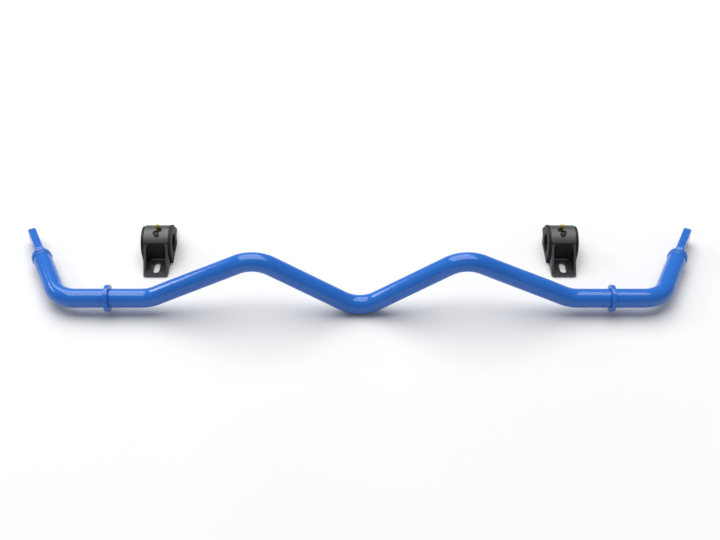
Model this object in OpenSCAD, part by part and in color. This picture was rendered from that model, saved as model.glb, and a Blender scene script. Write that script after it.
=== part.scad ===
// Tubular sway bar laid out with its two greasable D-bushing brackets.
// +X runs along the bar, +Y points along the arms, +Z is up. The set lies on the floor at Z = 0
// and its origin is the centre of its footprint. Pieces are drawn for the right side (+X)
// and mirrored for the left.

/* [Bar tube] */
// Outer diameter of the bar
tube_od = 32; // [24:0.5:38]
// Wall thickness of the tube
tube_wall = 4.5; // [3:0.25:6]
// Distance between the two raised bends, corner to corner
raised_spacing = 340; // [280:1:420]
// Distance between the outer ends of the ramps, corner to corner
ramp_spacing = 698; // [620:1:780]
// Distance between the two elbows, corner to corner
elbow_spacing = 1002; // [960:1:1200]
// Height of the raised corners over the straights' axis
raised_height = 85.5; // [60:1:110]
// Depth of the middle corner under the straights' axis
valley_depth = 24; // [10:1:30]
// Centreline radius of the raised bends
raised_bend_r = 58; // [45:1:75]
// Centreline radius of the middle bend
valley_bend_r = 54; // [45:1:75]
// Centreline radius where a ramp meets a straight
ramp_bend_r = 60; // [45:1:90]
// Centreline radius of the elbows
elbow_bend_r = 48; // [45:1:60]
// Angle by which an arm leans outwards from square
arm_splay = 26; // [15:0.5:35]
// Length of an arm's tube, from the elbow's corner to the weld
arm_length = 115.5; // [100:0.5:200]

/* [Locating collars] */
// Distance between the middles of the two collars
collar_spacing = 836; // [800:1:900]
// Outer diameter of a collar
collar_od = 45; // [42:0.5:50]
// Width of a collar
collar_width = 7; // [4:0.5:14]
// Leg of the fillet weld on a collar's outboard face
collar_weld_leg = 1.5; // [1:0.25:3]

/* [Blade ends] */
// Diameter of the round shoulder behind the weld
shoulder_od = 34; // [33:0.5:44]
// Length of the shoulder's straight part
shoulder_length = 5; // [4:0.5:20]
// Thickness of the blade
blade_thickness = 14; // [8:0.5:16]
// Height of the blade
blade_height = 38; // [34:0.5:46]
// Length from the weld to the blade's tip
blade_reach = 83; // [76:1:100]
// Diameter of the link bolt holes
link_hole_d = 10.5; // [8:0.5:12]
// Distance between the two link bolt holes
link_hole_spacing = 24; // [18:0.5:30]
// Length of the spigot inside the tube
spigot_length = 25; // [10:1:40]
// Depth of the weld's groove
weld_groove = 3; // [1.5:0.25:4]
// Height of the weld's crown over the tube
weld_crown = 1.2; // [0.5:0.1:2]

/* [Brackets] */
// Distance between the middles of the two brackets
bracket_spacing = 710; // [640:1:760]
// Distance from the straights' axis back to the bushings' axis
bracket_setback = 145; // [120:1:200]
// Width of the bracket along the bar
bracket_width = 42.3; // [34:0.1:60]
// Height of the bushing's axis over the bracket's base
axis_height = 23.6; // [22:0.1:30]
// Outer radius of the saddle
saddle_r = 31; // [30:0.5:38]
// Distance from the axis to the foot's front edge
foot_reach = 64; // [56:0.5:80]
// Thickness of the foot
foot_thickness = 5; // [4:0.5:8]
// Thickness of each gusset web
web_thickness = 4; // [3:0.25:6]
// Width of a bolt slot
slot_width = 11.5; // [9:0.5:14]
// Length of a bolt slot
slot_length = 27; // [16:0.5:28]
// Distance between the middles of the two bolt slots
slot_spacing = 87.5; // [80:0.5:100]
// Corner radius of the bolt pockets
pocket_corner_r = 8; // [4:0.5:10]
// Thickness of the saddle's wall behind a bolt pocket
pocket_wall = 3; // [2.5:0.25:5]

/* [Bushings] */
// Wall of the bushing between its bore and the saddle
bushing_wall = 4.15; // [3.5:0.05:6]
// Thickness of each end flange
flange_thickness = 4.8; // [3:0.1:8]
// Radius of the inboard flange
inboard_flange_r = 31.8; // [30:0.1:36]
// Radius of the outboard flange
outboard_flange_r = 29.4; // [28:0.1:36]
// Width of the flanges at their base
flange_base_width = 53.8; // [46:0.1:60]
// Width of the slit that lets the bushing open over the bar
slit_width = 0.8; // [0.4:0.1:2]
// Width of the grease groove in the bore
groove_width = 5; // [3:0.5:8]
// Depth of the grease groove in the bore
groove_depth = 1.2; // [0.5:0.1:2]

/* [Grease fittings] */
// Thread diameter of a grease fitting
thread_d = 6; // [5:0.5:8]
// Length of the thread
thread_length = 6.5; // [4:0.5:8]
// Hexagon size across flats
hex_size = 8; // [7.5:0.5:11]
// Height of the hexagon
hex_height = 3; // [2:0.5:6]
// Diameter of the head that the grease gun grips
head_d = 6.5; // [6.4:0.1:6.6]
// Diameter of the check ball
ball_d = 3; // [2.5:0.1:3.2]

/* [Hidden] */
$fn = 96;

// Named clearances
running_fit = 0.05;   // bar in bushing bore, on the radius
slip_fit = 0.3;       // bushing in saddle
press_gap = 0.02;     // pieces that are fixed to each other
ball_seat_gap = 0.03; // check ball on its seat
bend_draw = 0.02;     // a bend's wall is drawn this much thinner each way
run_taper = 0.12;     // a run's end narrows by this, so that it closes onto the bend
lap = 1;              // length of that narrowing end, inside the bend
cut = 1;              // how far a cutting shape runs past a face

// Bar tube
tube_r = tube_od / 2;
tube_ir = tube_r - tube_wall;
raised_x = raised_spacing / 2;
ramp_x = ramp_spacing / 2;
elbow_x = elbow_spacing / 2;
arm_dir = [sin(arm_splay), cos(arm_splay), 0];
arm_end = [elbow_x, 0, 0] + arm_length * arm_dir;
path_right = [
    [0, 0, -valley_depth],
    [raised_x, 0, raised_height],
    [ramp_x, 0, 0],
    [elbow_x, 0, 0],
    arm_end
];
bend_radii = [raised_bend_r, ramp_bend_r, elbow_bend_r];

function unit(v) = v / norm(v);
function turn(p, q, r) = acos(unit(q - p) * unit(r - q));
function tangent_length(p, q, r, radius) = radius * tan(turn(p, q, r) / 2);
function mirrored(p) = [-p[0], p[1], p[2]];
// The point at a distance from p on the way to q
function toward(p, q, distance) = p + unit(q - p) * distance;

// Depth of the centreline at the middle bend, under the straights' axis
inner_slope = atan((raised_height + valley_depth) / raised_x);
valley_axis = valley_depth - valley_bend_r * (1 / cos(inner_slope) - 1);

// The bar lies on the middle bend and on both blade tips, which tips its plane back by this angle
blade_round = blade_height / 2;
tip_centre = arm_length + blade_reach - blade_round;
tip_y = tip_centre * cos(arm_splay) + blade_thickness / 2 * sin(arm_splay);
valley_r = tube_r - bend_draw;
rest_sum = norm([valley_axis, tip_y]);
bar_pitch = acos((blade_round - valley_r) / rest_sum) - atan2(tip_y, valley_axis);
straight_height = valley_r + valley_axis * cos(bar_pitch);

// Footprint of the set, from the bar's front to the brackets' rear edge
front_y = -valley_r - valley_axis * sin(bar_pitch);
rear_y = bracket_setback + foot_reach;
centre_y = (front_y + rear_y) / 2;

// Blade end
spigot_r = tube_ir - press_gap;
shoulder_r = shoulder_od / 2;
hole_edge = 15;                               // from the tip to the outer hole's middle
outer_hole = blade_reach - hole_edge;
inner_hole = outer_hole - link_hole_spacing;
root_sink = 2;                                // the blade starts this far inside the shoulder
blade_root = shoulder_length - root_sink;
blade_full = shoulder_length + shoulder_r;    // from here the blade has its full height
root_half_height = shoulder_r - root_sink;

// Bracket
bore_r = tube_r + running_fit;
waist_r = bore_r + bushing_wall;
cavity_r = waist_r + slip_fit;
half_width = bracket_width / 2;
slope_angle = 50.7;                           // degrees from the top where a gusset's slope runs into
slope_sink = 0.53;                            // the saddle, and how far it has sunk in there
foot_margin = 6.4;                            // from a gusset's toe to the foot's edge
gusset_toe = foot_reach - foot_margin;
pocket_back = cavity_r + pocket_wall;
root_fillet = 2;                              // where a pocket's back wall meets the foot
foot_corner_r = 4;
saddle_top = axis_height + saddle_r;

// Bushing
slit_land = 6;                                // plain bore left on each side of the slit
side_slope = 10;                              // degrees under the axis where a flange's sides start

// Oblong pad on the saddle, with a groove around it
pad_angle = 18;                               // from the top towards the front
pad_lean = 27;                                // from straight across the saddle
pad_length = 14.2;
pad_width = 9.4;
pad_groove = 2.6;
pad_depth = 3;

// Grease fitting: an elbow that stands on the saddle's top and leans outboard and to the rear
spot_depth = 0.7;
spot_margin = 2;                              // flat left round the hexagon
spot_r = hex_size / 2 + spot_margin;
seat_z = saddle_top - spot_depth;
fitting_x = -4.5;                             // inboard of the bracket's middle
fitting_lean = 45;
fitting_turn = 35;                            // from straight outboard towards the rear
thread_r = thread_d / 2;
elbow_rise = 0.8;                             // from the hexagon's top to the elbow's middle
elbow_z = seat_z + hex_height + elbow_rise;
elbow_r = 3.4;
neck_r = 2.4;
head_r = head_d / 2;
head_start = 3.7;                             // distances along the leaning axis, from the elbow
head_full = 5;
head_narrows = 6;
head_top = 7.7;
chamber_r = 1.75;
mouth_r = 0.9;
mouth_length = 0.75;
feed_r = 1.2;
ball_r = ball_d / 2;
cone_top = head_top - mouth_length;
cone_bottom = cone_top - (chamber_r - mouth_r);
ball_z = cone_bottom + chamber_r - (ball_r + ball_seat_gap) * sqrt(2);
seat_ring_height = 0.8;
seat_ring_z = 0.3;
passage_r = 1.5;

// Check spring
wire_r = 0.18;
coil_r = 1.15;
coil_turns = 4;
coil_steps = 12;
wire_sides = 8;
spring_bottom = seat_ring_z + seat_ring_height + wire_r + press_gap;
spring_top = ball_z - sqrt((ball_r + wire_r) * (ball_r + wire_r) - coil_r * coil_r) - press_gap;

// Places a shape, drawn from the origin along +Z, at p and pointing along direction d
module along(p, d) {
    z = unit(d);
    side = abs(z[2]) < 0.9 ? [0, 0, 1] : [0, 1, 0];
    x = unit(cross(side, z));
    y = cross(z, x);
    multmatrix([
        [x[0], y[0], z[0], p[0]],
        [x[1], y[1], z[1], p[1]],
        [x[2], y[2], z[2], p[2]],
        [0, 0, 0, 1]
    ])
        children();
}

// Straight run of tube from p to q, with a narrowed end inside the bend at each end
module tube_run(p, q) {
    reach = norm(q - p);
    along(p, q - p)
        rotate_extrude()
            polygon([
                [tube_ir + run_taper, -lap],
                [tube_r - run_taper, -lap],
                [tube_r, 0],
                [tube_r, reach],
                [tube_r - run_taper, reach + lap],
                [tube_ir + run_taper, reach + lap],
                [tube_ir, reach],
                [tube_ir, 0]
            ]);
}

// Bend at corner q between p and r
module tube_bend(p, q, r, radius) {
    a = unit(q - p);
    b = unit(r - q);
    n = unit(cross(a, b));
    m = cross(n, a);
    c = q - a * tangent_length(p, q, r, radius) + m * radius;
    multmatrix([
        [-m[0], a[0], n[0], c[0]],
        [-m[1], a[1], n[1], c[1]],
        [-m[2], a[2], n[2], c[2]],
        [0, 0, 0, 1]
    ])
        rotate_extrude(angle = turn(p, q, r))
            translate([radius, 0])
                difference() {
                    circle(tube_r - bend_draw);
                    circle(tube_ir + bend_draw);
                }
}

// Last run of an arm, from the elbow, with the weld's groove cut on its far end
module tube_end(p, q) {
    reach = norm(q - p);
    along(p, q - p)
        rotate_extrude()
            polygon([
                [tube_ir + run_taper, -lap],
                [tube_r - run_taper, -lap],
                [tube_r, 0],
                [tube_r, reach - weld_groove],
                [tube_r - weld_groove, reach],
                [tube_ir, reach],
                [tube_ir, 0]
            ]);
}

// Places the bar's own frame, with the straights' axis on its X axis, in the laid out set
module bar_frame() {
    translate([0, -centre_y, straight_height])
        rotate([-bar_pitch, 0, 0])
            children();
}

module half_tube() {
    p = path_right;
    last = len(p) - 1;
    left_raised = mirrored(p[1]);
    start_cut = tangent_length(left_raised, p[0], p[1], valley_bend_r);
    for (i = [1 : last - 1])
        tube_bend(p[i - 1], p[i], p[i + 1], bend_radii[i - 1]);
    for (i = [0 : last - 2]) {
        before = i == 0 ? start_cut : tangent_length(p[i - 1], p[i], p[i + 1], bend_radii[i - 1]);
        after = tangent_length(p[i], p[i + 1], p[i + 2], bend_radii[i]);
        tube_run(toward(p[i], p[i + 1], before), toward(p[i + 1], p[i], after));
    }
    elbow_cut = tangent_length(p[last - 2], p[last - 1], p[last], elbow_bend_r);
    tube_end(toward(p[last - 1], p[last], elbow_cut), p[last]);
}

module bar_tube() {
    color("royalblue")
        bar_frame() {
            tube_bend(mirrored(path_right[1]), path_right[0], path_right[1], valley_bend_r);
            half_tube();
            mirror([1, 0, 0]) half_tube();
        }
}

// Draws its children on the right, or mirrored on the left
module on_side(side) {
    if (side > 0)
        children();
    else
        mirror([1, 0, 0]) children();
}

module locating_collar(side) {
    color("royalblue")
        bar_frame()
            on_side(side)
                along([(collar_spacing - collar_width) / 2, 0, 0], [1, 0, 0])
                    difference() {
                        cylinder(r = collar_od / 2, h = collar_width);
                        translate([0, 0, -cut])
                            cylinder(r = tube_r + press_gap, h = collar_width + 2 * cut);
                    }
}

module collar_weld(side) {
    color("royalblue")
        bar_frame()
            on_side(side)
                along([(collar_spacing + collar_width) / 2, 0, 0], [1, 0, 0])
                    rotate_extrude()
                        polygon([
                            [tube_r + press_gap, 0],
                            [tube_r + press_gap + collar_weld_leg, 0],
                            [tube_r + press_gap, collar_weld_leg]
                        ]);
}

// Blade outline in its own plane: first axis along the arm, second axis up
module blade_outline() {
    translate([tip_centre - arm_length, 0])
        circle(blade_round);
    polygon([
        [blade_root, -root_half_height],
        [blade_full, -blade_round],
        [tip_centre - arm_length, -blade_round],
        [tip_centre - arm_length, blade_round],
        [blade_full, blade_round],
        [blade_root, root_half_height]
    ]);
}

module blade_end(side) {
    color("royalblue")
        bar_frame()
            on_side(side)
                translate(arm_end)
                    rotate([0, 0, 90 - arm_splay])
                        difference() {
                            union() {
                                rotate([90, 0, 0])
                                    translate([0, 0, -blade_thickness / 2])
                                        linear_extrude(blade_thickness)
                                            blade_outline();
                                rotate([0, 90, 0]) {
                                    rotate_extrude()
                                        polygon([
                                            [0, 0],
                                            [tube_r - weld_groove, 0],
                                            [shoulder_r, weld_groove + shoulder_r - tube_r],
                                            [shoulder_r, shoulder_length],
                                            [0, shoulder_length]
                                        ]);
                                    translate([0, 0, -spigot_length])
                                        cylinder(r = spigot_r, h = spigot_length);
                                    translate([0, 0, shoulder_length])
                                        intersection() {
                                            sphere(shoulder_r);
                                            cylinder(r = shoulder_r + cut, h = shoulder_r + cut);
                                        }
                                }
                            }
                            for (x = [inner_hole, outer_hole])
                                translate([x, 0, 0])
                                    rotate([90, 0, 0])
                                        cylinder(
                                            r = link_hole_d / 2,
                                            h = shoulder_od,
                                            center = true
                                        );
                        }
}

module end_weld(side) {
    crown_r = tube_r + weld_crown;
    color("royalblue")
        bar_frame()
            on_side(side)
                along(arm_end, arm_dir)
                    rotate_extrude()
                        polygon([
                            [tube_r - weld_groove, 0],
                            [shoulder_r, weld_groove + shoulder_r - tube_r],
                            [crown_r, weld_groove / 2],
                            [crown_r, -weld_groove / 2],
                            [tube_r, -weld_groove]
                        ]);
}

// Places one bracket's own frame: base on the floor, X outboard, under the bushing's axis
module bracket_frame(side) {
    on_side(side)
        translate([bracket_spacing / 2, bracket_setback - centre_y, 0])
            children();
}

// Extrudes an outline of (Y, Z) along X, from x0 over the given length
module across(x0, length) {
    translate([x0, 0, 0])
        rotate([90, 0, 90])
            linear_extrude(length)
                children();
}

// Arch: round over the axis, straight down to the base
module arch(radius, below) {
    intersection() {
        translate([0, axis_height])
            circle(radius);
        translate([-radius - cut, axis_height])
            square([2 * (radius + cut), radius + cut]);
    }
    translate([-radius, -below])
        square([2 * radius, axis_height + below]);
}

// Round-ended slot along Y, centred on the origin
module slot_outline(length, width) {
    straight = length - width;
    square([width, straight], center = true);
    for (end = [-1, 1])
        translate([0, end * straight / 2])
            circle(width / 2);
}

module gusset_outline() {
    slope_top = (saddle_r - slope_sink) * [sin(slope_angle), cos(slope_angle)];
    polygon([
        [gusset_toe, 0],
        [gusset_toe, foot_thickness],
        [slope_top[0], axis_height + slope_top[1]],
        [-slope_top[0], axis_height + slope_top[1]],
        [-gusset_toe, foot_thickness],
        [-gusset_toe, 0]
    ]);
}

module foot_outline() {
    difference() {
        square([bracket_width, 2 * foot_reach], center = true);
        for (x = [-1, 1], y = [-1, 1])
            translate([x * half_width, y * foot_reach])
                rotate(45)
                    square(foot_corner_r, center = true);
    }
}

// Plan of one bolt pocket, open at the foot's edge
module pocket_outline() {
    inner = half_width - web_thickness;
    translate([-inner, pocket_back + pocket_corner_r])
        square([2 * inner, foot_reach]);
    translate([-inner + pocket_corner_r, pocket_back])
        square([2 * (inner - pocket_corner_r), pocket_corner_r + cut]);
    for (x = [-1, 1])
        translate([x * (inner - pocket_corner_r), pocket_back + pocket_corner_r])
            circle(pocket_corner_r);
}

module pad_groove() {
    translate([0, 0, axis_height])
        rotate([pad_angle, 0, 0])
            translate([0, 0, saddle_r - pad_depth])
                rotate([0, 0, -pad_lean])
                    linear_extrude(saddle_r)
                        difference() {
                            slot_outline(pad_length, pad_width);
                            slot_outline(pad_length - 2 * pad_groove, pad_width - 2 * pad_groove);
                        }
}

// Keeps what is above the base of an outline of (Y, Z)
module above_base() {
    intersection() {
        children();
        translate([-2 * foot_reach, 0])
            square([4 * foot_reach, 2 * saddle_top]);
    }
}

module bracket_body() {
    difference() {
        across(-half_width, bracket_width) {
            gusset_outline();
            above_base()
                translate([0, axis_height])
                    circle(saddle_r);
        }
        for (end = [0, 180])
            rotate([0, 0, end])
                translate([0, 0, foot_thickness])
                    linear_extrude(saddle_top)
                        pocket_outline();
    }
    across(-half_width, bracket_width) {
        polygon([
            [-pocket_back - root_fillet, 0],
            [pocket_back + root_fillet, 0],
            [pocket_back + root_fillet, foot_thickness],
            [pocket_back, foot_thickness + root_fillet],
            [-pocket_back, foot_thickness + root_fillet],
            [-pocket_back - root_fillet, foot_thickness]
        ]);
    }
    linear_extrude(foot_thickness)
        foot_outline();
}

module bracket_housing(side) {
    color("dimgray")
        bracket_frame(side)
            difference() {
                bracket_body();
                across(-half_width - cut, bracket_width + 2 * cut)
                    arch(cavity_r, cut);
                for (y = [-1, 1])
                    translate([0, y * slot_spacing / 2, -cut])
                        linear_extrude(foot_thickness + 2 * cut)
                            slot_outline(slot_length, slot_width);
                pad_groove();
                translate([fitting_x, 0, seat_z])
                    cylinder(r = spot_r, h = saddle_r);
                translate([fitting_x, 0, axis_height])
                    cylinder(r = thread_r + press_gap, h = saddle_r);
            }
}

// Flange outline: round over the axis, straight sides down to the base
module flange_outline(radius) {
    above_base()
        translate([0, axis_height])
            circle(radius);
    polygon([
        [-flange_base_width / 2, 0],
        [flange_base_width / 2, 0],
        [radius * cos(side_slope), axis_height - radius * sin(side_slope)],
        [-radius * cos(side_slope), axis_height - radius * sin(side_slope)]
    ]);
}

module bushing_body() {
    waist = bracket_width + 2 * slip_fit;
    across(-waist / 2, waist)
        arch(waist_r, 0);
    across(-waist / 2 - flange_thickness, flange_thickness)
        flange_outline(inboard_flange_r);
    across(waist / 2, flange_thickness)
        flange_outline(outboard_flange_r);
}

// Grease groove in the bore, which stops short of the slit so that the grease stays in
module groove_outline() {
    difference() {
        circle(bore_r + groove_depth);
        translate([0, -slit_land])
            square([2 * bore_r, 2 * slit_land]);
    }
}

module bushing(side) {
    overall = bracket_width + 2 * (slip_fit + flange_thickness);
    color("black")
        bracket_frame(side)
            difference() {
                bushing_body();
                across(-overall / 2 - cut, overall + 2 * cut)
                    translate([0, axis_height])
                        circle(bore_r);
                across(fitting_x - groove_width / 2, groove_width)
                    translate([0, axis_height])
                        groove_outline();
                translate([-overall / 2 - cut, 0, axis_height - slit_width / 2])
                    cube([overall + 2 * cut, inboard_flange_r * 2, slit_width]);
                translate([fitting_x, 0, axis_height])
                    cylinder(r = passage_r, h = saddle_r);
            }
}

// Places the leaning axis of a fitting on +Z, with the elbow's middle at the origin
module fitting_axis(side) {
    bracket_frame(side)
        translate([fitting_x, 0, elbow_z])
            rotate([0, 0, fitting_turn])
                rotate([0, fitting_lean, 0])
                    children();
}

module fitting_outside(side) {
    bracket_frame(side)
        translate([fitting_x, 0, 0]) {
            translate([0, 0, seat_z])
                cylinder(r = hex_size / 2 / cos(30), h = hex_height, $fn = 6);
            translate([0, 0, seat_z - thread_length])
                cylinder(r = thread_r, h = thread_length + cut);
            translate([0, 0, elbow_z])
                sphere(elbow_r);
        }
    fitting_axis(side)
        rotate_extrude()
            polygon([
                [0, 0],
                [neck_r, 0],
                [neck_r, head_start],
                [head_r, head_full],
                [head_r, head_narrows],
                [neck_r, head_top],
                [0, head_top]
            ]);
}

module grease_fitting(side) {
    color("goldenrod")
        difference() {
            fitting_outside(side);
            bracket_frame(side)
                translate([fitting_x, 0, seat_z - thread_length - cut])
                    cylinder(r = feed_r, h = elbow_z - seat_z + thread_length + cut);
            fitting_axis(side)
                rotate_extrude()
                    polygon([
                        [0, 0],
                        [chamber_r, 0],
                        [chamber_r, cone_bottom],
                        [mouth_r, cone_top],
                        [mouth_r, head_top + cut],
                        [0, head_top + cut]
                    ]);
        }
}

module check_ball(side) {
    color("silver")
        fitting_axis(side)
            translate([0, 0, ball_z])
                sphere(ball_r);
}

module spring_seat(side) {
    color("silver")
        fitting_axis(side)
            translate([0, 0, seat_ring_z])
                difference() {
                    cylinder(r = chamber_r - press_gap, h = seat_ring_height);
                    translate([0, 0, -cut])
                        cylinder(r = mouth_r, h = seat_ring_height + 2 * cut);
                }
}

// Wire's section at step i of the coil, as points round its centre
function coil_ring(i, steps) = [
    for (k = [0 : wire_sides - 1])
        let (
            turn_angle = 360 * coil_turns * i / steps,
            round_angle = 360 * k / wire_sides,
            reach = coil_r + wire_r * cos(round_angle),
            height = spring_bottom + (spring_top - spring_bottom) * i / steps
        )
        [reach * cos(turn_angle), reach * sin(turn_angle), height + wire_r * sin(round_angle)]
];

module ball_spring(side) {
    steps = coil_turns * coil_steps;
    points = [for (i = [0 : steps], p = coil_ring(i, steps)) p];
    sides = [
        for (i = [0 : steps - 1], k = [0 : wire_sides - 1])
            let (next = (k + 1) % wire_sides)
            [i * wire_sides + k, (i + 1) * wire_sides + k, (i + 1) * wire_sides + next, i * wire_sides + next]
    ];
    first_cap = [for (k = [0 : wire_sides - 1]) k];
    last_cap = [for (k = [wire_sides - 1 : -1 : 0]) steps * wire_sides + k];
    color("silver")
        fitting_axis(side)
            polyhedron(points, concat(sides, [first_cap, last_cap]));
}

bar_tube();
locating_collar(-1);  // left_locating_collar
locating_collar(1);  // right_locating_collar
collar_weld(-1);  // left_collar_weld
collar_weld(1);  // right_collar_weld
blade_end(-1);  // left_blade_end
blade_end(1);  // right_blade_end
end_weld(-1);  // left_end_weld
end_weld(1);  // right_end_weld
bracket_housing(-1);  // left_bracket_housing
bracket_housing(1);  // right_bracket_housing
bushing(-1);  // left_bushing
bushing(1);  // right_bushing
grease_fitting(-1);  // left_grease_fitting
grease_fitting(1);  // right_grease_fitting
check_ball(-1);  // left_check_ball
check_ball(1);  // right_check_ball
ball_spring(-1);  // left_ball_spring
ball_spring(1);  // right_ball_spring
spring_seat(-1);  // left_spring_seat
spring_seat(1);  // right_spring_seat
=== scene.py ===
# Tubular sway bar with its two greasable bushing brackets, dressed for a studio picture
import math
import bmesh
import bpy
import numpy as np
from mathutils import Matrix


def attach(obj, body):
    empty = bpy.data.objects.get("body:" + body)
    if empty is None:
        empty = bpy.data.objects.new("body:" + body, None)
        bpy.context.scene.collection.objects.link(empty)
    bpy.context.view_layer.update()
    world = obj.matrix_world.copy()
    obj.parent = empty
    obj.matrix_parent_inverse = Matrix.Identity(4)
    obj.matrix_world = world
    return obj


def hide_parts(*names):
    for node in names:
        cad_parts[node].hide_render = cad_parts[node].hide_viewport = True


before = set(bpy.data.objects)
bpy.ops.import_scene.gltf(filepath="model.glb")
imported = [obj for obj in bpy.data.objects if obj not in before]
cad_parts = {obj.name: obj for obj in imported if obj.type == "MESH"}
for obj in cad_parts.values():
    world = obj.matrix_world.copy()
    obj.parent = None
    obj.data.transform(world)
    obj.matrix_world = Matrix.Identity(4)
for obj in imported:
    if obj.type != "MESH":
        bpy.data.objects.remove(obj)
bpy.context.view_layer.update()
print("frame loaded:", len(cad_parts), "nodes")

mm = 0.001
sides = (("left", -1), ("right", 1))
tau = 2 * math.pi


def linear(hexCode):
    # sRGB hex to linear, with alpha 1
    parts = [int(hexCode[i:i + 2], 16) / 255 for i in (1, 3, 5)]
    return (*[c / 12.92 if c <= 0.04045 else ((c + 0.055) / 1.055) ** 2.4 for c in parts], 1)


def addNode(tree, kind, settings=None, **links):
    # a node with its settings; a link is socket=(node, output), a plain value is set on the socket
    node = tree.nodes.new(kind)
    for key, value in (settings or {}).items():
        setattr(node, key, value)
    for key, value in links.items():
        numbered = key[0] == "i" and key[1:].isdigit()
        socket = node.inputs[int(key[1:]) if numbered else key.replace("_", " ")]
        if isinstance(value, tuple) and hasattr(value[0], "outputs"):
            tree.links.new(value[0].outputs[value[1]], socket)
        else:
            socket.default_value = value
    return node


def newObject(name, points, faces):
    # points is an array in metres, faces a list or array of corner numbers
    mesh = bpy.data.meshes.new(name)
    mesh.from_pydata(np.asarray(points, float).reshape(-1, 3).tolist(), [],
                     faces.tolist() if hasattr(faces, "tolist") else faces)
    makeOutward(mesh)
    piece = bpy.data.objects.new(name, mesh)
    bpy.context.scene.collection.objects.link(piece)
    return piece


def makeOutward(mesh, weld=1e-7):
    # points nearer than the weld distance become one, and every face looks out of the piece
    work = bmesh.new()
    work.from_mesh(mesh)
    bmesh.ops.remove_doubles(work, verts=work.verts, dist=weld)
    bmesh.ops.dissolve_degenerate(work, edges=work.edges, dist=weld)
    bmesh.ops.recalc_face_normals(work, faces=work.faces)
    work.to_mesh(mesh)
    work.free()


def finishPiece(piece, material, body, replaced, sharpAngle):
    # smooth shading but for edges sharper than the angle, one material, and its place in the model
    mesh = piece.data
    mesh.materials.clear()
    mesh.materials.append(material)
    mesh.polygons.foreach_set("use_smooth", np.ones(len(mesh.polygons), bool))
    mesh.set_sharp_from_angle(angle=math.radians(sharpAngle))
    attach(piece, body)
    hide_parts(replaced)


def faceCentres(mesh):
    # the middle of every face, one row each, in metres
    centres = np.zeros(len(mesh.polygons) * 3)
    mesh.polygons.foreach_get("center", centres)
    return centres.reshape(-1, 3)


def ringFaces(rows, columns, wrapRows=True, wrapColumns=True):
    # quads of a grid of points, row by row; a wrapped direction joins its last line to its first
    r = np.arange(rows if wrapRows else rows - 1)[:, None]
    c = np.arange(columns if wrapColumns else columns - 1)[None, :]
    r2, c2 = (r + 1) % rows, (c + 1) % columns
    return np.stack([r * columns + c, r * columns + c2, r2 * columns + c2, r2 * columns + c],
                    -1).reshape(-1, 4)


def closedGrid(rows, columns):
    # the quads of a grid whose columns go round, with a cap on its first row and on its last
    last = (rows - 1) * columns
    quads = ringFaces(rows, columns, wrapRows=False).tolist()
    return quads + [list(range(columns))[::-1], list(range(last, last + columns))]


def roundedLoop(corners, radius, steps=4):
    # a closed outline with each corner replaced by an arc; radius may be one number or one per corner
    corners = np.asarray(corners, float)
    radius = np.broadcast_to(np.asarray(radius, float), len(corners))
    before, after = np.roll(corners, 1, 0) - corners, np.roll(corners, -1, 0) - corners
    lengthB, lengthA = np.linalg.norm(before, axis=1), np.linalg.norm(after, axis=1)
    b, a = before / lengthB[:, None], after / lengthA[:, None]
    half = np.arccos(np.clip((a * b).sum(1), -1, 1)) / 2
    reach = np.minimum(radius / np.tan(half), np.minimum(lengthA, lengthB) * 0.49)
    start, end = corners + b * reach[:, None], corners + a * reach[:, None]
    t = np.linspace(0, 1, steps + 1)[None, :, None]
    # a quadratic curve with the corner as its middle control point
    loop = (1 - t) ** 2 * start[:, None] + 2 * t * (1 - t) * corners[:, None] + t ** 2 * end[:, None]
    return loop.reshape(-1, 2)


def makeFinish(name, look, **sockets):
    # a material whose colour, gloss and relief each follow their own noise, at a size in mm
    material = bpy.data.materials.new(name)
    material.use_nodes = True
    tree = material.node_tree
    tree.nodes.clear()
    coords = (addNode(tree, "ShaderNodeTexCoord"), "Object")
    noise = {pattern: (addNode(tree, "ShaderNodeTexNoise", {"label": pattern}, Vector=coords,
                               Scale=1 / (size * mm), Detail=detail, Roughness=rough), "Fac")
             for pattern, (size, detail, rough) in look["noise"].items()}
    colour = addNode(tree, "ShaderNodeValToRGB", Fac=noise["tint"])
    elements = colour.color_ramp.elements
    while len(elements) < len(look["tint"]):
        elements.new(0.5)
    for element, (position, hexCode) in zip(elements, look["tint"]):
        element.position, element.color = position, linear(hexCode)
    shader = addNode(tree, "ShaderNodeBsdfPrincipled", Base_Color=(colour, "Color"), **sockets)
    # roughness over the range named gloss; most of a noise lies between 0.3 and 0.7
    if "gloss" in look:
        gloss = addNode(tree, "ShaderNodeMapRange", Value=noise["gloss"], From_Min=0.3, From_Max=0.7,
                        To_Min=look["gloss"][0], To_Max=look["gloss"][1])
        tree.links.new(gloss.outputs["Result"], shader.inputs["Roughness"])
    # one bump after another: (pattern, height in mm, strength)
    normal = {}
    for pattern, height, strength in look.get("relief", ()):
        bump = addNode(tree, "ShaderNodeBump", Height=noise[pattern], Distance=height * mm,
                       Strength=strength, **normal)
        normal = {"Normal": (bump, "Normal")}
    if normal:
        tree.links.new(bump.outputs["Normal"], shader.inputs["Normal"])
    output = addNode(tree, "ShaderNodeOutputMaterial")
    tree.links.new(shader.outputs["BSDF"], output.inputs["Surface"])
    return material


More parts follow.
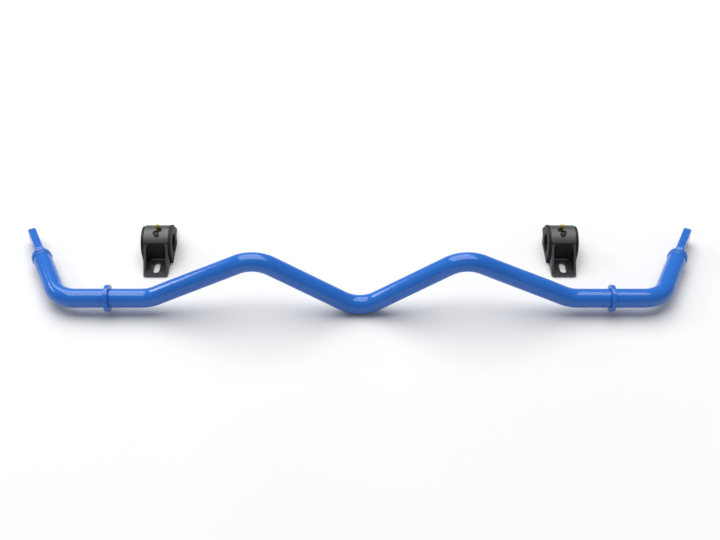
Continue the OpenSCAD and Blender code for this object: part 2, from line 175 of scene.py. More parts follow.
# Noise patterns are (size in mm, detail, roughness of the pattern); tints are (position, sRGB hex).
# Gloss polyester powder coat, baked on. The melted powder flows out into a faint orange peel, so
# reflections stay bright but their edges waver, and the colour is very even.
bluePowderCoat = makeFinish("glossBluePowderCoat", {
    "noise": {"tint": (90, 2, 0.5), "gloss": (35, 3, 0.5), "orangePeel": (2.6, 1.5, 0.45),
              "powderGrain": (0.5, 2, 0.5)},
    "tint": ((0.3, "#1b61b9"), (0.5, "#1e64bd"), (0.7, "#2168c2")),
    "gloss": (0.09, 0.14),
    "relief": (("orangePeel", 0.012, 0.6), ("powderGrain", 0.002, 0.35)),
}, IOR=1.5, Specular_IOR_Level=0.46)

# The same coat over a weld bead: it pools between the ripples, so it is a touch darker and rougher.
weldedPowderCoat = makeFinish("powderCoatOverWeld", {
    "noise": {"tint": (6, 3, 0.5), "gloss": (4, 2, 0.5), "spatter": (1.6, 3, 0.5)},
    "tint": ((0.3, "#1857a8"), (0.6, "#1c61b8"), (0.75, "#2168c2")),
    "gloss": (0.24, 0.38),
    "relief": (("spatter", 0.05, 0.5),),
}, IOR=1.5, Specular_IOR_Level=0.42)

# Cast polyurethane with graphite in it: matt black with a dull bloom, faintly mottled, with a fine
# cast skin.
castPolyurethane = makeFinish("castBlackPolyurethane", {
    "noise": {"tint": (14, 5, 0.6), "gloss": (3, 3, 0.5), "castSkin": (1.1, 4, 0.6)},
    "tint": ((0.3, "#0e0e0f"), (0.55, "#141415"), (0.75, "#1b1b1d")),
    "gloss": (0.5, 0.68),
    "relief": (("castSkin", 0.04, 0.5),),
}, IOR=1.5, Specular_IOR_Level=0.32)

# Zinc plated steel with a yellow passivate: brassy metal whose thin film drifts from gold to green.
yellowZinc = makeFinish("yellowZincPlate", {
    "noise": {"tint": (2.2, 3, 0.5), "gloss": (0.8, 3, 0.5), "platingGrain": (0.35, 2, 0.5)},
    "tint": ((0.3, "#94802f"), (0.5, "#b39c3e"), (0.65, "#bba648"), (0.8, "#99964a")),
    "gloss": (0.26, 0.42),
    "relief": (("platingGrain", 0.004, 0.4),),
}, Metallic=1.0)

# The same plate on the turned body and the hexagon, painted much darker: painted shade for the dark
# surroundings that these faces reflect.
shadedZincPaint = makeFinish("zincPlateWithPaintedShade", {
    "noise": {"tint": (1.6, 3, 0.5), "gloss": (0.8, 3, 0.5), "dirt": (0.5, 3, 0.5)},
    "tint": ((0.3, "#3b3723"), (0.55, "#544c2a"), (0.75, "#6b5f30")),
    "gloss": (0.38, 0.55),
    "relief": (("dirt", 0.01, 0.5),),
}, Metallic=1.0)

# Hardened ball steel, ground and polished: clean bright metal with hair-fine lines.
polishedSteel = makeFinish("polishedBallSteel", {
    "noise": {"tint": (1.2, 3, 0.5), "gloss": (0.4, 3, 0.5), "hairlines": (0.2, 2, 0.5)},
    "tint": ((0.3, "#b9bbbe"), (0.7, "#d3d5d8")),
    "gloss": (0.06, 0.14),
    "relief": (("hairlines", 0.002, 0.4),),
}, Metallic=1.0)

# Spring steel as drawn: greyer and duller than the ball, with the drawing die's fine lines.
drawnSteel = makeFinish("drawnSpringSteel", {
    "noise": {"tint": (1.2, 3, 0.5), "gloss": (0.4, 3, 0.5), "dieLines": (0.2, 2, 0.5)},
    "tint": ((0.3, "#8d9094"), (0.7, "#b4b7ba")),
    "gloss": (0.22, 0.36),
    "relief": (("dieLines", 0.002, 0.4),),
}, Metallic=1.0)

machining = {
    "toolPitch": 1.6, "passHeight": 0.012,  # mm, the cutter's passes round the saddle
    "scuffSize": 5,                         # mm between rubbed spots on the edges
    "rubbed": "#55585b",                    # grey metal that shows where the coat is rubbed thin
    "sharpness": (0.52, 0.62),              # how sharply an edge must curve to be rubbed, and fully rubbed
    "mostRubbed": 0.55, "patchiness": (0.2, 1.0),
}


def machinedAndCoated(name, look, specular):
    # Machined aluminium under a thin satin black coat. The cutter's passes run round the saddle and
    # show through as faint lines, which pull the highlight into a soft band; edges are rubbed lighter.
    material = makeFinish(name, look, IOR=1.5, Specular_IOR_Level=specular)
    tree = material.node_tree
    find = {node.bl_idname: node for node in tree.nodes}
    coords = (find["ShaderNodeTexCoord"], "Object")
    across = addNode(tree, "ShaderNodeSeparateXYZ", Vector=coords)
    passes = addNode(tree, "ShaderNodeMath", {"operation": "MULTIPLY"}, i0=(across, "X"),
                     i1=tau / (machining["toolPitch"] * mm))
    lines = addNode(tree, "ShaderNodeMath", {"operation": "SINE"}, i0=(passes, "Value"))
    passBump = addNode(tree, "ShaderNodeBump", Height=(lines, "Value"),
                       Distance=machining["passHeight"] * mm, Strength=0.5)
    tree.links.new(passBump.outputs["Normal"], find["ShaderNodeBump"].inputs["Normal"])
    # where the surface is sharply curved, spots of the coat are rubbed thin
    geometry = addNode(tree, "ShaderNodeNewGeometry")
    curved = addNode(tree, "ShaderNodeMapRange", Value=(geometry, "Pointiness"),
                     From_Min=machining["sharpness"][0], From_Max=machining["sharpness"][1],
                     To_Min=0.0, To_Max=machining["mostRubbed"])
    spots = addNode(tree, "ShaderNodeTexNoise", Vector=coords, Scale=1 / (machining["scuffSize"] * mm),
                    Detail=4.0, Roughness=0.5)
    patchy = addNode(tree, "ShaderNodeMapRange", Value=(spots, "Fac"), From_Min=0.3, From_Max=0.7,
                     To_Min=machining["patchiness"][0], To_Max=machining["patchiness"][1])
    scuffs = addNode(tree, "ShaderNodeMath", {"operation": "MULTIPLY"}, i0=(curved, "Result"),
                     i1=(patchy, "Result"))
    worn = addNode(tree, "ShaderNodeMix", {"data_type": "RGBA"}, i0=(scuffs, "Value"),
                   i6=(find["ShaderNodeValToRGB"], "Color"), i7=linear(machining["rubbed"]))
    tree.links.new(worn.outputs[2], find["ShaderNodeBsdfPrincipled"].inputs["Base Color"])
    return material


coatNoise = {"tint": (9, 4, 0.6), "gloss": (9, 4, 0.6), "coatGrain": (0.8, 3, 0.5)}
satinBlack = machinedAndCoated("satinBlackCoatOnAluminium", {
    "noise": coatNoise,
    "tint": ((0.3, "#191a1b"), (0.5, "#1e1f20"), (0.72, "#252627")),
    "gloss": (0.46, 0.56),
    "relief": (("coatGrain", 0.02, 0.5),),
}, 1.0)
# painted shade: a darker, less shiny copy of the coat for the pockets, the pad and the groove round it,
# standing in for the shade there
pocketShadeBlack = machinedAndCoated("blackCoatWithPaintedPocketShade", {
    "noise": coatNoise,
    "tint": ((0.3, "#151516"), (0.5, "#1a1a1b"), (0.72, "#1f1f20")),
    "gloss": (0.5, 0.65),
    "relief": (("coatGrain", 0.02, 0.5),),
}, 0.3)
print("materials made")


bar = {
    "tubeR": 16, "wall": 4.5,
    "raisedX": 170, "rampX": 349, "elbowX": 501,        # the corners of the bar's line
    "raisedZ": 85.5, "valleyZ": -24,
    "bendR": {"valley": 54, "raised": 58, "ramp": 60, "elbow": 48},
    "splay": 26, "armLength": 115.5,
    "weldGroove": 3,                                    # how far the tube's end is cut back for the weld
    "clearance": 0.02,                                  # between the tube and what is welded to it
    "around": 80, "degreesPerRow": 2.0,
}
bladeEnd = {
    "shoulderR": 17, "shoulderStart": 3.9, "shoulderLength": 5,
    "rootSink": 2, "rootRise": 7, "thickness": 14, "height": 38, "reach": 83,
    "square": 9.0,                                      # the higher, the sharper the blade's long edges
    "blend": 14.0,                                      # the higher, the tighter the fillet at its root
    "holeR": 5.25, "holeSpacing": 24, "holeEdge": 15, "countersink": 0.5, "holeAround": 64,
    "spigotLength": 25, "spigotEdge": 0.6, "grooveFootR": 13.0, "grooveTop": (3.2, 16.4),
    "around": 144, "domeRows": 25, "levelRows": 6, "bowRows": 26,
}
bracket = {
    "spacing": 710, "setback": 145, "width": 42.3, "axisZ": 23.6, "footReach": 64, "footThickness": 5,
    "web": 4, "rootFillet": 2, "pocketBack": 23.5, "saddleR": 31,
    "padAngle": 18, "padReach": 8.2, "padMiddle": 4.6,
    "edge": 0.55,                                       # the bevel on every machined edge
}

# The bar rests on its middle bend and on both blade tips; these are the same sums as the CAD source's
splay = math.radians(bar["splay"])
innerSlope = math.atan2(bar["raisedZ"] - bar["valleyZ"], bar["raisedX"])
valleyAxis = -bar["valleyZ"] - bar["bendR"]["valley"] * (1 / math.cos(innerSlope) - 1)
bladeRound = bladeEnd["height"] / 2
tipCentre = bar["armLength"] + bladeEnd["reach"] - bladeRound
tipY = tipCentre * math.cos(splay) + bladeEnd["thickness"] / 2 * math.sin(splay)
valleyR = bar["tubeR"] - bar["clearance"]
pitch = (math.acos((bladeRound - valleyR) / math.hypot(valleyAxis, tipY))
         - math.atan2(tipY, valleyAxis))
straightZ = valleyR + valleyAxis * math.cos(pitch)
centreY = (-valleyR - valleyAxis * math.sin(pitch) + bracket["setback"] + bracket["footReach"]) / 2


def barToWorld(points):
    # the bar's own frame (mm, straights' axis on X) pitched back and set on the floor, in metres
    p = np.asarray(points, float)
    y = p[..., 1] * math.cos(pitch) + p[..., 2] * math.sin(pitch)
    z = -p[..., 1] * math.sin(pitch) + p[..., 2] * math.cos(pitch)
    return np.stack([p[..., 0], y - centreY, z + straightZ], -1) * mm


def centreline():
    # straight lines between corners, with an arc of the corner's radius at each corner
    armEnd, _ = armFrame(1)
    right = [((bar["raisedX"], 0, bar["raisedZ"]), "raised"), ((bar["rampX"], 0, 0), "ramp"),
             ((bar["elbowX"], 0, 0), "elbow")]
    left = [((-x, y, z), name) for (x, y, z), name in right[::-1]]
    corners = left + [((0, 0, bar["valleyZ"]), "valley")] + right
    points = [armEnd * [-1, 1, 1]] + [np.array(point, float) for point, _ in corners] + [armEnd]
    path, tangents = [points[0][None]], [(points[1] - points[0])[None]]
    for i, (_, name) in enumerate(corners, 1):
        a = points[i] - points[i - 1]
        b = points[i + 1] - points[i]
        a, b = a / np.linalg.norm(a), b / np.linalg.norm(b)
        turn, radius = math.acos(a @ b), bar["bendR"][name]
        normal = b - a * (a @ b)
        normal /= np.linalg.norm(normal)
        start = points[i] - a * radius * math.tan(turn / 2)
        rows = max(4, int(math.degrees(turn) / bar["degreesPerRow"]))
        t = np.linspace(0, turn, rows)[:, None]
        path.append(start + radius * (np.sin(t) * a + (1 - np.cos(t)) * normal))
        tangents.append(np.cos(t) * a + np.sin(t) * normal)
    path.append(points[-1][None])
    tangents.append((points[-1] - points[-2])[None])
    path, tangents = np.concatenate(path), np.concatenate(tangents)
    return path, tangents / np.linalg.norm(tangents, axis=1)[:, None]


def armFrame(sign):
    # where an arm's tube ends, and the way it runs
    direction = np.array([sign * math.sin(splay), math.cos(splay), 0])
    return np.array([sign * bar["elbowX"], 0, 0]) + bar["armLength"] * direction, direction


def carried(path, tangents, radii, around):
    # circles of the given radii about each point of a path, square to it; columns go once round
    side = np.cross([0, 0, 1.0], tangents)
    side /= np.linalg.norm(side, axis=1)[:, None]
    up = np.cross(tangents, side)
    angle = np.linspace(0, tau, around, endpoint=False)[None, :, None]
    ring = np.cos(angle) * side[:, None] + np.sin(angle) * up[:, None]
    return path[:, None] + radii[:, None, None] * ring


def makeTube():
    # circles along the outside, then the weld groove's foot, then back along the inside, which
    # closes the wall into one skin
    path, tangents = centreline()
    outerR, groove = bar["tubeR"], bar["weldGroove"]
    outerPath = path.copy()
    outerPath[0] += tangents[0] * groove
    outerPath[-1] -= tangents[-1] * groove
    rows = np.concatenate([outerPath, path[-1:], path[::-1], path[:1]])
    along = np.concatenate([tangents, tangents[-1:], tangents[::-1], tangents[:1]])
    radii = np.concatenate([np.full(len(path), outerR), [outerR - groove],
                            np.full(len(path), outerR - bar["wall"]), [outerR - groove]])
    grid = carried(rows, along, radii.astype(float), bar["around"])
    piece = newObject("barTubeCoated", barToWorld(grid), ringFaces(len(rows), bar["around"]))
    finishPiece(piece, bluePowderCoat, "bar", "bar_tube", 40)


def lathe(profile, origin, direction, around, ripple=None):
    # a closed profile of (distance along, radius) turned about an axis in the bar's frame; ripple is
    # added to the radius at each point of the profile and each angle
    profile = np.asarray(profile, float)
    direction = np.asarray(direction, float) / np.linalg.norm(direction)
    path = np.asarray(origin, float) + profile[:, :1] * direction
    radii = np.broadcast_to(profile[:, 1:], (len(profile), around)).copy()
    if ripple is not None:
        radii = radii + ripple
    side = np.cross([0, 0, 1.0], direction)
    side /= np.linalg.norm(side)
    up = np.cross(direction, side)
    angle = np.linspace(0, tau, around, endpoint=False)[None, :, None]
    return path[:, None] + radii[..., None] * (np.cos(angle) * side + np.sin(angle) * up)


collar = {
    "spacing": 836, "outerR": 22.5, "width": 7, "edge": 0.7, "boreEdge": 0.15, "around": 112,
    "weldLeg": 1.5, "weldBulge": 0.22,
    "ripples": 44, "rippleHeight": 0.1, "rippleLean": 2.2, "weldAround": 264,
}


def makeCollar(side, sign):
    # a rectangle with rounded corners, turned about the tube's axis
    inner, half = bar["tubeR"] + bar["clearance"], collar["width"] / 2
    corners = [(-half, inner), (half, inner), (half, collar["outerR"]), (-half, collar["outerR"])]
    edges = [collar["boreEdge"], collar["boreEdge"], collar["edge"], collar["edge"]]
    loop = roundedLoop(corners, edges)[::-1]
    grid = lathe(loop, [sign * collar["spacing"] / 2, 0, 0], [1, 0, 0], collar["around"])
    piece = newObject(side + "CollarCoated", barToWorld(grid), ringFaces(len(loop), collar["around"]))
    finishPiece(piece, bluePowderCoat, "bar", side + "_locating_collar", 35)


def makeCollarWeld(side, sign):
    # a fillet whose face swells and sinks round the ring as the welder moves on
    leg, inner, around = collar["weldLeg"], bar["tubeR"] + bar["clearance"], collar["weldAround"]
    t = np.linspace(0, 1, 9)
    swell = np.sin(math.pi * t)[:, None]
    outward = np.array([0.7, 0.7])              # square to the fillet's face
    face = np.stack([leg * t, inner + leg * (1 - t)], 1) + collar["weldBulge"] * swell * outward
    loop = np.concatenate([[(0.0, inner)], face]) * [sign, 1]
    angle = np.linspace(0, tau, around, endpoint=False)
    phase = collar["ripples"] * angle[None] + collar["rippleLean"] * (t[:, None] - 0.5)
    ripple = np.concatenate([np.zeros((1, around)), collar["rippleHeight"] * np.sin(phase) * swell])
    origin = [sign * (collar["spacing"] + collar["width"]) / 2, 0, 0]
    grid = lathe(loop, origin, [1, 0, 0], around, ripple)
    piece = newObject(side + "CollarWeldBead", barToWorld(grid), ringFaces(len(loop), around))
    finishPiece(piece, weldedPowderCoat, "bar", side + "_collar_weld", 60)


endWeld = {
    "start": -3.4, "length": 5.6, "sink": 0.05, "crown": 0.85, "fullness": 0.75,
    "ripples": 38, "rippleHeight": 0.22, "rippleSharpness": 0.6, "rippleCurve": 10.0,
    "wander": 0.12,                     # the bead's edge wanders in and out three times a turn
    "around": 304, "rows": 21,
}


def makeEndWeld(side, sign):
    # bead over the groove: an arch from the tube to the shoulder, with crescent ripples
    w, r, groove = endWeld, bar["tubeR"], bar["weldGroove"]
    end, direction = armFrame(sign)
    t = np.linspace(0, 1, w["rows"])
    arch = np.sin(math.pi * t) ** w["fullness"]
    base = r - w["sink"] + (bladeEnd["shoulderR"] - r) * t
    outer = np.stack([w["start"] + w["length"] * t, base + w["crown"] * arch], 1)
    # the bead's hidden foot follows the two slopes of the groove
    foot = [(groove - 1.0, r + 0.2), (0.0, r - groove + 0.02), (-groove + 0.2, r - 0.25)]
    loop = np.concatenate([outer, foot])
    angle = np.linspace(0, tau, w["around"], endpoint=False)[None]
    phase = w["ripples"] * angle + w["rippleCurve"] * (t[:, None] - 0.5) ** 2
    crests = (np.abs(np.sin(phase / 2)) ** w["rippleSharpness"] - w["rippleSharpness"]) * w["rippleHeight"]
    wander = w["wander"] * np.sin(3 * angle + sign)
    ripple = np.concatenate([(crests + wander) * arch[:, None], np.zeros((len(foot), w["around"]))])
    grid = lathe(loop, end, direction, w["around"], ripple)
    piece = newObject(side + "EndWeldBead", barToWorld(grid), ringFaces(len(loop), w["around"]))
    finishPiece(piece, weldedPowderCoat, "bar", side + "_end_weld", 60)


def makeBlade(side, sign):
    # Rings across the arm's line. A round part (spigot, shoulder, half ball) and a flat part (a
    # superellipse that rounds the blade's long edges) each give a radius; the larger one counts,
    # and where they are alike the sum swells into a fillet.
    b = bladeEnd
    end, direction = armFrame(sign)
    shoulderR, shoulderEnd, halfT = b["shoulderR"], b["shoulderLength"], b["thickness"] / 2
    spigot, spigotR = -b["spigotLength"], bar["tubeR"] - bar["wall"] - bar["clearance"]
    # (distance along the arm, radius): the spigot, the weld groove's foot and top, the shoulder
    start, startR = np.array([
        (spigot, spigotR - b["spigotEdge"]), (spigot + b["spigotEdge"], spigotR), (0.0, spigotR),
        (0.001, b["grooveFootR"]), b["grooveTop"], (b["shoulderStart"], shoulderR),
        (shoulderEnd, shoulderR)]).T
    xTip = b["reach"] - bladeRound
    dome = shoulderEnd + shoulderR * np.sin(np.linspace(0, math.pi / 2, b["domeRows"])[1:])
    level = np.linspace(dome[-1], xTip, b["levelRows"])[1:]
    bow = xTip + bladeRound * np.sin(np.linspace(0, math.pi / 2, b["bowRows"])[1:-1])
    x = np.concatenate([start, dome, level, bow])
    # the least square of a radius, 0.01, leaves each end a small ring for its cap
    ball = np.sqrt(np.maximum(shoulderR ** 2 - (x[len(start):] - shoulderEnd) ** 2, 0.01))
    roundPart = np.concatenate([startR, ball])
    # the blade widens from its root inside the shoulder, runs level, and ends in a half circle
    root = shoulderEnd - b["rootSink"]
    rising = np.interp(x, [root, root + b["rootRise"]], [shoulderR - b["rootSink"], bladeRound])
    halfHeight = np.where(x > xTip, np.sqrt(np.maximum(bladeRound ** 2 - (x - xTip) ** 2, 0.01)), rising)
    angle = np.linspace(0, tau, b["around"], endpoint=False)
    c, s = np.cos(angle)[None], np.sin(angle)[None]
    flatPart = (np.abs(c / halfT) ** b["square"]
                + np.abs(s / halfHeight[:, None]) ** b["square"]) ** (-1 / b["square"])
    flatPart = flatPart * np.where(x > root, 1.0, 0.01)[:, None]      # no blade before its root
    radius = (roundPart[:, None] ** b["blend"] + flatPart ** b["blend"]) ** (1 / b["blend"])
    across = np.cross([0, 0, 1.0], direction)
    grid = (end + x[:, None, None] * direction + (radius * c)[..., None] * across
            + (radius * s)[..., None] * np.array([0, 0, 1.0]))
    piece = newObject(side + "BladeCoated", barToWorld(grid), closedGrid(len(x), b["around"]))
    drillHoles(piece, end, direction, across)
    finishPiece(piece, bluePowderCoat, "bar", side + "_blade_end", 32)


def drillHoles(piece, end, direction, across):
    # both link holes, cut through the blade's thickness, with a small countersink at each face
    b = bladeEnd
    outer = b["reach"] - b["holeEdge"]
    halfT, r, cut, past = b["thickness"] / 2, b["holeR"], b["countersink"], 1
    depth, radius = np.array([(-halfT - past, r + cut + past), (-halfT + cut, r), (halfT - cut, r),
                              (halfT + past, r + cut + past)]).T[..., None, None]
    angle = np.linspace(0, tau, b["holeAround"], endpoint=False)[None, :, None]
    ring = np.cos(angle) * direction + np.sin(angle) * np.array([0, 0, 1.0])
    for x in (outer, outer - b["holeSpacing"]):
        grid = end + x * direction + depth * across + radius * ring
        drill = newObject("drill", barToWorld(grid), closedGrid(len(depth), b["holeAround"]))
        makeOutward(piece.data)
        applyBoolean(piece, drill)
    # the cuts leave slivers a few microns wide along the rims
    makeOutward(piece.data, 0.03 * mm)


def applyBoolean(piece, tool):
    # the tool's shape is cut out of the piece, and the tool is dropped
    cutter = piece.modifiers.new("cut", "BOOLEAN")
    cutter.operation, cutter.solver, cutter.object = "DIFFERENCE", "EXACT", tool
    bakeModifiers(piece)
    bpy.data.objects.remove(tool)


def bakeModifiers(piece):
    # keeps the mesh that the modifiers make, and drops them
    ready = piece.evaluated_get(bpy.context.evaluated_depsgraph_get())
    mesh = bpy.data.meshes.new_from_object(ready)
    mesh.name = piece.name
    piece.modifiers.clear()
    piece.data = mesh


makeTube()
for side, sign in sides:
    makeCollar(side, sign)
    makeCollarWeld(side, sign)
    makeEndWeld(side, sign)
    makeBlade(side, sign)
print("bar made")


bushing = {
    "boreR": 16.05, "waistR": 20.2, "flange": 4.8, "inboardR": 31.8, "outboardR": 29.4,
    "baseHalf": 26.9, "sideAngle": 10, "slit": 0.8, "clearance": 0.3,
    "grooveX": -4.5, "grooveWidth": 5, "grooveDepth": 1.2, "grooveSlope": 0.5,
    "grooveFades": (0.17, 0.05),            # where it starts beside the slit, and over how far
    "edge": 0.8, "innerEdge": 0.5, "boreEdge": 0.6, "grooveEdge": 0.3,
    "around": 160, "cornerStep": 0.012,     # radians beside a corner of the base
}


def bracketToWorld(points, sign):
    # a bracket's own frame: X outboard, base on the floor, under the bushing's axis
    p = np.asarray(points, float)
    return np.stack([sign * (p[..., 0] + bracket["spacing"] / 2),
                     p[..., 1] + bracket["setback"] - centreY, p[..., 2]], -1) * mm


def makeHousing(side, sign):
    # the machined block itself, with a fine bevel on its sharp edges
    node = side + "_bracket_housing"
    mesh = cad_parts[node].data.copy()
    work = bmesh.new()
    work.from_mesh(mesh)
    bmesh.ops.remove_doubles(work, verts=work.verts, dist=0.002 * mm)
    bmesh.ops.dissolve_limit(work, angle_limit=math.radians(1.0), verts=work.verts, edges=work.edges)
    work.to_mesh(mesh)
    work.free()
    mesh.name = side + "HousingCoated"
    piece = bpy.data.objects.new(mesh.name, mesh)
    bpy.context.scene.collection.objects.link(piece)
    bevel = piece.modifiers.new("edges", "BEVEL")
    bevel.width, bevel.segments = bracket["edge"] * mm, 3
    bevel.limit_method, bevel.angle_limit = "ANGLE", math.radians(32)
    bevel.miter_outer = "MITER_ARC"
    bakeModifiers(piece)
    finishPiece(piece, satinBlack, side + "_bracket", node, 50)
    paintPocketShade(piece.data, sign)
    # big faces stay flat next to their bevels
    flat = piece.modifiers.new("flatFaces", "WEIGHTED_NORMAL")
    flat.keep_sharp, flat.weight = True, 80


def paintPocketShade(mesh, sign):
    # painted shade: the darker coat goes on the faces inside the bolt pockets, on the pad and in the groove
    # round it
    b, near = bracket, 0.05                 # near: mm of slack beside a plane
    mesh.materials.append(pocketShadeBlack)
    x, y, z = (faceCentres(mesh) / mm).T
    x = sign * x - b["spacing"] / 2
    y = y - b["setback"] + centreY
    inside = b["width"] / 2 - b["web"]
    inPocket = ((np.abs(x) < inside + near) & (np.abs(y) > b["pocketBack"] - near)
                & (z > b["footThickness"] + b["rootFillet"] + near))
    onFoot = ((np.abs(z - b["footThickness"]) < 2 * near) & (np.abs(x) < inside)
              & (np.abs(y) > b["pocketBack"] + b["rootFillet"] + 0.5))
    fromPad = np.hypot(x, y + b["saddleR"] * math.sin(math.radians(b["padAngle"])))
    inGroove = (np.hypot(y, z - b["axisZ"]) < b["saddleR"] - near) & (fromPad < b["padReach"])
    inPad = (inGroove | (fromPad < b["padMiddle"])) & (z > b["axisZ"] + b["saddleR"] / 2)
    mesh.polygons.foreach_set("material_index", (inPocket | onFoot | inPad).astype(np.int32))


def dRadius(angle, radius, baseHalf, sideAngle):
    # distance from the bore's axis to a D outline: round above, a straight side down to each base
    # corner, and a flat base
    h = bracket["axisZ"]
    side = math.radians(sideAngle)
    x0, z0 = radius * math.cos(side), -radius * math.sin(side)
    dx, dz = baseHalf - x0, -h - z0
    length = math.hypot(dx, dz)
    nx, nz = -dz / length, dx / length          # outward normal of the right side's line
    reach = nx * x0 + nz * z0
    c, s = np.abs(np.cos(angle)), np.sin(angle)
    sideLine = reach / np.maximum(nx * c + nz * s, 1e-6)
    baseLine = h / np.maximum(-s, 1e-6)
    low = s < -math.sin(side) + 1e-9
    return np.where(low, np.minimum(np.where(sideLine > 0, sideLine, 1e6), baseLine), radius)


def makeBushing(side, sign):
    # D outlines at stations along the bar's line, then circles back along the bore. The grid is
    # open at the slit, where one face on each side closes it.
    b = bushing
    half = bracket["width"] / 2 + b["clearance"]
    end = half + b["flange"]
    widths = (b["baseHalf"], -b["baseHalf"], b["waistR"], -b["waistR"])
    beside = [(math.atan2(-bracket["axisZ"], width) + step) % tau for width in widths
              for step in (-b["cornerStep"], 0.0, b["cornerStep"])]
    angle = np.unique(np.concatenate([np.linspace(0, tau, b["around"] + 1), beside]))
    rows = []                                   # (x, radius at each angle)
    quarter = np.linspace(0, math.pi / 2, 5)
    for s, radius in ((-1, b["inboardR"]), (1, b["outboardR"])):
        outline = dRadius(angle, radius, b["baseHalf"], b["sideAngle"])
        flange = []
        for face, roll, turns in ((end, -b["edge"], quarter[::-1]), (half, b["innerEdge"], quarter)):
            flange += [(s * (face + roll * (1 - math.sin(a))), outline - abs(roll) * (1 - math.cos(a)))
                       for a in turns]
        flange.append((s * half, dRadius(angle, b["waistR"], b["waistR"], 0.0)))
        rows += flange if s < 0 else flange[::-1]
    # the bore, with a groove for grease that fades out beside the slit
    g0, g1 = b["grooveX"] - b["grooveWidth"] / 2, b["grooveX"] + b["grooveWidth"] / 2
    edge, deep, slope, mouth = b["grooveEdge"], b["grooveDepth"], b["grooveSlope"], b["boreEdge"]
    bore = [(end, mouth), (end - mouth, 0), (g1 + edge, 0), (g1, edge), (g1 - slope, deep),
            (g0 + slope, deep), (g0, edge), (g0 - edge, 0), (-end + mouth, 0), (-end, mouth)]
    fadeStart, fadeLength = b["grooveFades"]
    opening = np.clip((np.abs(np.sin(angle / 2)) - fadeStart) / fadeLength, 0, 1)
    rows += [(x, b["boreR"] + r * (opening if r == deep else np.ones(len(angle)))) for x, r in bore]
    x, r = np.array([x for x, _ in rows])[:, None], np.array([r for _, r in rows])
    slitTurn, nearSlit = np.arcsin(b["slit"] / 2 / r), 0.2
    turn = np.where(angle < nearSlit, np.maximum(angle, slitTurn), angle)
    turn = np.where(angle > tau - nearSlit, np.minimum(angle, tau - slitTurn), turn)
    grid = np.stack([np.broadcast_to(x, r.shape), r * np.cos(turn), bracket["axisZ"] + r * np.sin(turn)], -1)
    faces = ringFaces(len(rows), len(angle), wrapColumns=False).tolist()
    firstPoints = np.arange(len(rows)) * len(angle)
    faces += [firstPoints.tolist(), (firstPoints + len(angle) - 1)[::-1].tolist()]
    piece = newObject(side + "BushingCast", bracketToWorld(grid, sign), faces)
    finishPiece(piece, castPolyurethane, side + "_bushing", side + "_bushing", 34)


fitting = {
    "x": -4.5, "lean": 45, "turn": 35, "seatZ": 53.9,
    "threadR": 3, "threadSlack": 0.02, "threadDepth": 0.5, "threadLength": 6.5, "threadPitch": 1.0,
    "coreR": 1.2,           # the passage through the middle
    "hex": 8,
    # (height over the seat, radius less that of the hexagon's corners)
    "nut": ((0, -0.5), (0.35, 0), (2.55, 0), (3, -0.7)),
    "elbowZ": 57.7, "elbowR": 3.1,
    # (distance from the elbow, radius) of the neck, the step that the grease gun's jaws hold, the head
    "head": ((0, 0.9), (0, 2.4), (2.9, 2.4), (3.7, 2.45), (4.6, 3.15), (5, 3.25), (5.8, 3.25), (6.2, 3),
             (7.35, 2.52), (7.7, 2.15), (7.7, 1.15), (7.45, 0.9)),
    "paintedShadeTo": 2.2,      # mm from the elbow, where the painted shade ends
    "around": {"stem": 36, "nut": 72, "head": 48},
}


def turned(profile, around, polygon=None):
    # a closed profile of (height, radius) turned about Z; polygon gives flats across a hexagon
    profile = np.asarray(profile, float)
    angle = np.linspace(0, tau, around, endpoint=False)
    r = np.broadcast_to(profile[:, 1:], (len(profile), around)).copy()
    if polygon is not None:
        flat = polygon / np.cos((angle + math.pi / 6) % (math.pi / 3) - math.pi / 6)
        r = np.minimum(r, flat[None])
    return np.stack([r * np.cos(angle), r * np.sin(angle), np.broadcast_to(profile[:, :1], r.shape)], -1)


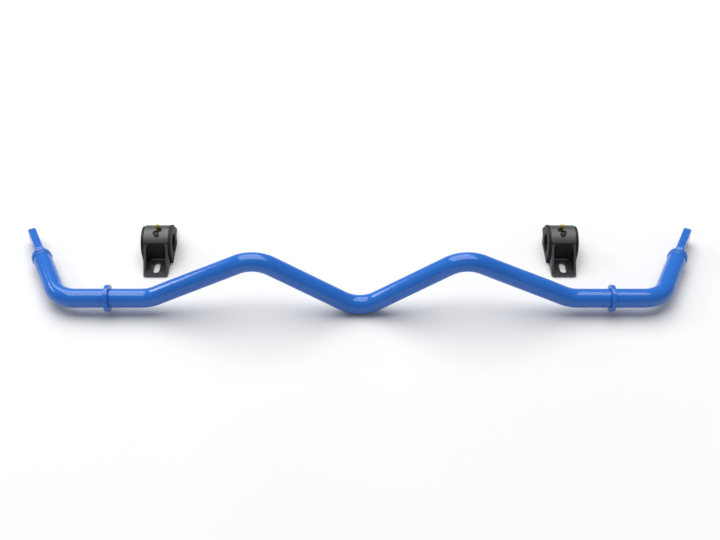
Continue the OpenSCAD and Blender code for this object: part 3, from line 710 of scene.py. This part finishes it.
def makeFitting(side, sign):
    # turned profiles: the stem with its thread as sharp ridges, the hexagon, the round elbow, and the
    # leaning neck with its head
    f = fitting
    seat, core = f["seatZ"], f["coreR"]
    turns = int(f["threadLength"] / f["threadPitch"] * 2)
    z = seat - np.linspace(f["threadLength"], 0, turns + 1)
    ridge = f["threadR"] - np.where(np.arange(turns, -1, -1) % 2 == 0, f["threadSlack"], f["threadDepth"])
    stem = np.concatenate([[(z[0], core)], np.stack([z, ridge], 1), [(seat, core)]])
    cornerR = f["hex"] / 2 / math.cos(math.pi / 6)
    nut = [(seat, core)] + [(seat + height, cornerR + less) for height, less in f["nut"]]
    nut.append((nut[-1][0], core))
    a = np.linspace(0.6, math.pi, 15)
    dome = np.stack([f["elbowZ"] - f["elbowR"] * np.cos(a), np.maximum(f["elbowR"] * np.sin(a), 0.02)], 1)
    lean, spin = math.radians(f["lean"]), math.radians(f["turn"])
    tilt = np.array([[math.cos(lean), 0, math.sin(lean)], [0, 1, 0], [-math.sin(lean), 0, math.cos(lean)]])
    swing = np.array([[math.cos(spin), -math.sin(spin), 0], [math.sin(spin), math.cos(spin), 0], [0, 0, 1]])
    head = turned(f["head"], f["around"]["head"]) @ (swing @ tilt).T + [0, 0, f["elbowZ"]]
    points, faces, start = [], [], 0
    for grid, makeFaces in ((turned(stem, f["around"]["stem"]), ringFaces),
                            (turned(nut, f["around"]["nut"], f["hex"] / 2), ringFaces),
                            (head, ringFaces), (turned(dome, f["around"]["head"]), closedGrid)):
        points.append(grid.reshape(-1, 3))
        faces += [[start + corner for corner in face] for face in makeFaces(*grid.shape[:2])]
        start += len(points[-1])
    points = np.concatenate(points) + [f["x"], 0, 0]
    piece = newObject(side + "FittingPlated", bracketToWorld(points, sign), faces)
    finishPiece(piece, yellowZinc, side + "_bracket", side + "_grease_fitting", 34)
    # painted shade on the stem, the hexagon and the elbow, a darker plate for the dark surroundings they
    # reflect; the neck and head beyond the elbow keep the plain plate
    piece.data.materials.append(shadedZincPaint)
    elbow = bracketToWorld([f["x"], 0, f["elbowZ"]], sign)
    out = np.array([sign * math.sin(lean) * math.cos(spin), math.sin(lean) * math.sin(spin), math.cos(lean)])
    paintedShade = (faceCentres(piece.data) - elbow) @ out <= f["paintedShadeTo"] * mm
    piece.data.polygons.foreach_set("material_index", paintedShade.astype(np.int32))


for side, sign in sides:
    makeHousing(side, sign)
    makeBushing(side, sign)
    makeFitting(side, sign)
    for node, material in (("_check_ball", polishedSteel), ("_ball_spring", drawnSteel),
                           ("_spring_seat", drawnSteel)):
        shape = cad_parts[side + node]
        shape.data.materials.clear()
        shape.data.materials.append(material)
print("brackets made")


studio = {
    "floor": ("#dddddd", "#dfdfdf"), "floorReach": 9.0, "world": 0.33,
    # soft boxes, far off and large: middle (m), size (m), turn about the vertical (degrees), watts
    "boxes": {
        "softBoxOverhead": ((-1.4, 4.4, 8.0), (8.4, 12.4), 12, 1250),
        "stripBoxLeft": ((-11.8, 5.4, 8.0), (2.0, 8.4), 8, 520),
    },
    "eye": (0.0, -1.273, 1.199), "down": 43.2, "lens": 50, "sensor": 36, "shift": 0.0004,
}


def makeStudio():
    # a sheet of paper as the floor, an even world, two soft boxes and the camera
    scene = bpy.context.scene
    floorMesh = bpy.data.meshes.new("studioFloor")
    reach = studio["floorReach"]
    corners = [(-reach, -reach, 0), (reach, -reach, 0), (reach, reach, 0), (-reach, reach, 0)]
    floorMesh.from_pydata(corners, [], [(0, 1, 2, 3)])
    floor = bpy.data.objects.new("studioFloor", floorMesh)
    scene.collection.objects.link(floor)
    # matt seamless paper, as evenly grey as paper is over metres, with no shine
    dark, light = studio["floor"]
    floorMesh.materials.append(makeFinish("paleSeamlessPaper", {
        "noise": {"tint": (400, 2, 0.5)}, "tint": ((0.3, dark), (0.7, light)),
    }, Roughness=0.95, Specular_IOR_Level=0.0))

    world = bpy.data.worlds.new("studioAir")
    scene.world = world
    world.use_nodes = True
    background = world.node_tree.nodes["Background"]
    background.inputs["Color"].default_value = (1, 1, 1, 1)
    background.inputs["Strength"].default_value = studio["world"]

    for name, (middle, size, turn, watts) in studio["boxes"].items():
        light = bpy.data.lights.new(name, "AREA")
        light.shape, light.size, light.size_y, light.energy = "RECTANGLE", size[0], size[1], watts
        lamp = bpy.data.objects.new(name, light)
        lamp.location = middle
        lamp.rotation_euler = (0, 0, math.radians(turn))
        scene.collection.objects.link(lamp)

    lens = bpy.data.cameras.new("studioCamera")
    lens.lens, lens.sensor_width, lens.shift_x = studio["lens"], studio["sensor"], studio["shift"]
    lens.clip_start, lens.clip_end = 0.05, 50
    camera = bpy.data.objects.new("studioCamera", lens)
    camera.location = studio["eye"]
    camera.rotation_euler = (math.radians(90 - studio["down"]), 0, 0)
    scene.collection.objects.link(camera)
    scene.camera = camera
    scene.view_settings.view_transform = "Standard"
    scene.view_settings.look = "None"


makeStudio()
print("studio made")
